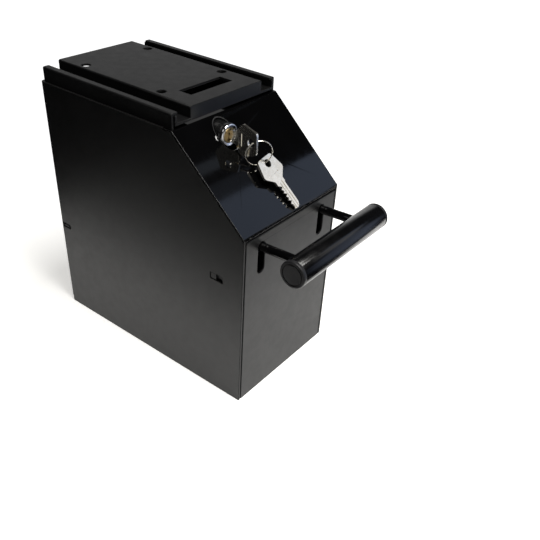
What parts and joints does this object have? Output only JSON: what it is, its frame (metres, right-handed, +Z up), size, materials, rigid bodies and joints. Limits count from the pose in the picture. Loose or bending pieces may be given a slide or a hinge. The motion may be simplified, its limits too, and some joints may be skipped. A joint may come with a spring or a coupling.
{
  "type": "under-counter deposit safe",
  "caption": "Sheet-steel cash deposit safe that hangs under a counter on a slide-on bracket, with a sloping lock panel, a press-down bar handle and keys in its cam lock.",
  "frame": {"origin": "centre of the four counter screw holes, on the bracket's top face, which lies against the underside of the counter", "axes": "+Z up into the counter, -Y towards the user (handle and lock side), +X to the user's right"},
  "size_m": [0.102, 0.2264, 0.196],
  "materials": {
    "black_powder_coat": "matt to satin black powder coat on folded sheet steel",
    "black_gloss_coat": "smooth glossy black coat",
    "chrome": "polished chrome plate",
    "brass_core": "machined brass, lightly tarnished",
    "nickel_key": "nickel-plated key stock, fine scratches",
    "zinc_steel": "zinc-plated steel",
    "black_plastic": "moulded black plastic",
    "white_nylon": "natural nylon",
    "spring_steel": "oiled spring wire"
  },
  "bodies": {
    "counter_bracket": {"mounting_bracket": "black_powder_coat"},
    "safe_box": {"body_shell": "black_powder_coat", "bottom_plate": "black_powder_coat", "lock_panel": "black_gloss_coat", "front_panel": "black_powder_coat", "rear_cross_member": "black_powder_coat", "left_slide_rail": "black_powder_coat", "right_slide_rail": "black_powder_coat", "left_pivot_bracket": "black_powder_coat", "right_pivot_bracket": "black_powder_coat", "left_pivot_bush": "white_nylon", "right_pivot_bush": "white_nylon", "lock_stay": "zinc_steel", "lock_housing": "chrome", "lock_sleeve": "black_plastic", "lock_nut": "zinc_steel"},
    "lever": {"lever_bar": "zinc_steel", "left_handle_rod": "black_gloss_coat", "right_handle_rod": "black_gloss_coat", "handle_tube": "black_gloss_coat", "left_handle_insert": "zinc_steel", "right_handle_insert": "zinc_steel", "left_end_cap": "black_plastic", "right_end_cap": "black_plastic", "deposit_shutter": "zinc_steel", "shutter_screws": "zinc_steel", "rod_nuts": "zinc_steel", "left_return_spring": "spring_steel", "right_return_spring": "spring_steel"},
    "lock_core": {"lock_plug": "brass_core", "lock_cam": "zinc_steel", "cam_screw": "zinc_steel", "inserted_key": "nickel_key"},
    "ring": {"key_ring": "nickel_key"},
    "loose_key": {"spare_key": "nickel_key"}
  },
  "joints": [
    {"name": "box_slide", "type": "slide", "parent": "counter_bracket", "child": "safe_box", "axis": [0, -1, 0], "range_m": [0, 0.135]},
    {"name": "lever_press", "type": "hinge", "parent": "safe_box", "child": "lever", "pos_m": [0, -0.0843, -0.0772], "axis": [1, 0, 0], "range_deg": [0, 21], "stiffness_Nm_per_rad": 0.25, "springref_deg": -60.16},
    {"name": "lock_turn", "type": "hinge", "parent": "safe_box", "child": "lock_core", "pos_m": [-0.013, -0.0801, -0.0208], "axis": [0, -1, 0], "range_deg": [0, 90]},
    {"name": "ring_swing", "type": "hinge", "parent": "lock_core", "child": "ring", "pos_m": [-0.013, -0.0972, -0.0208], "axis": [-1, 0, 0], "range_deg": [0, 60]},
    {"name": "spare_key_swing", "type": "hinge", "parent": "ring", "child": "loose_key", "pos_m": [-0.003, -0.1024, -0.0361], "axis": [-0.9893, -0.109, -0.0973], "range_deg": [0, 20]}
  ]
}
